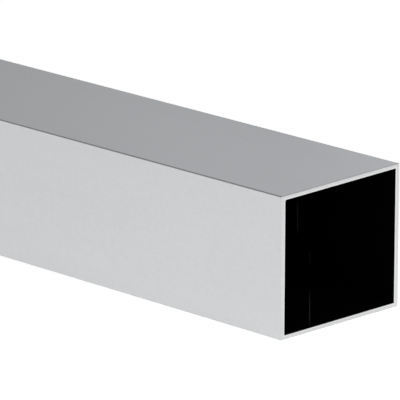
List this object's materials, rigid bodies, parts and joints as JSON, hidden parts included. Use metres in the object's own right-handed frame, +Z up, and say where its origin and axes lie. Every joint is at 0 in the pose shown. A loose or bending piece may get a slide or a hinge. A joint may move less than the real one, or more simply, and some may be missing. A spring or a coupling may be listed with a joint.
{
  "type": "square metal tube",
  "caption": "Cut length of thin-walled square aluminium tube, open right through, for frames, legs, rails and trim.",
  "frame": {"origin": "middle of the outside face that the tube lies on", "axes": "+X along the tube, out of the right end face; +Z up, out of the top face; -Y out of the front face"},
  "size_m": [0.3048, 0.0508, 0.0508],
  "materials": {
    "tube": "plain mill finish, clean and satin, with faint die lines along the tube and fresh sawn ends"
  },
  "bodies": {
    "root": {"square_tube": "tube"}
  },
  "joints": []
}
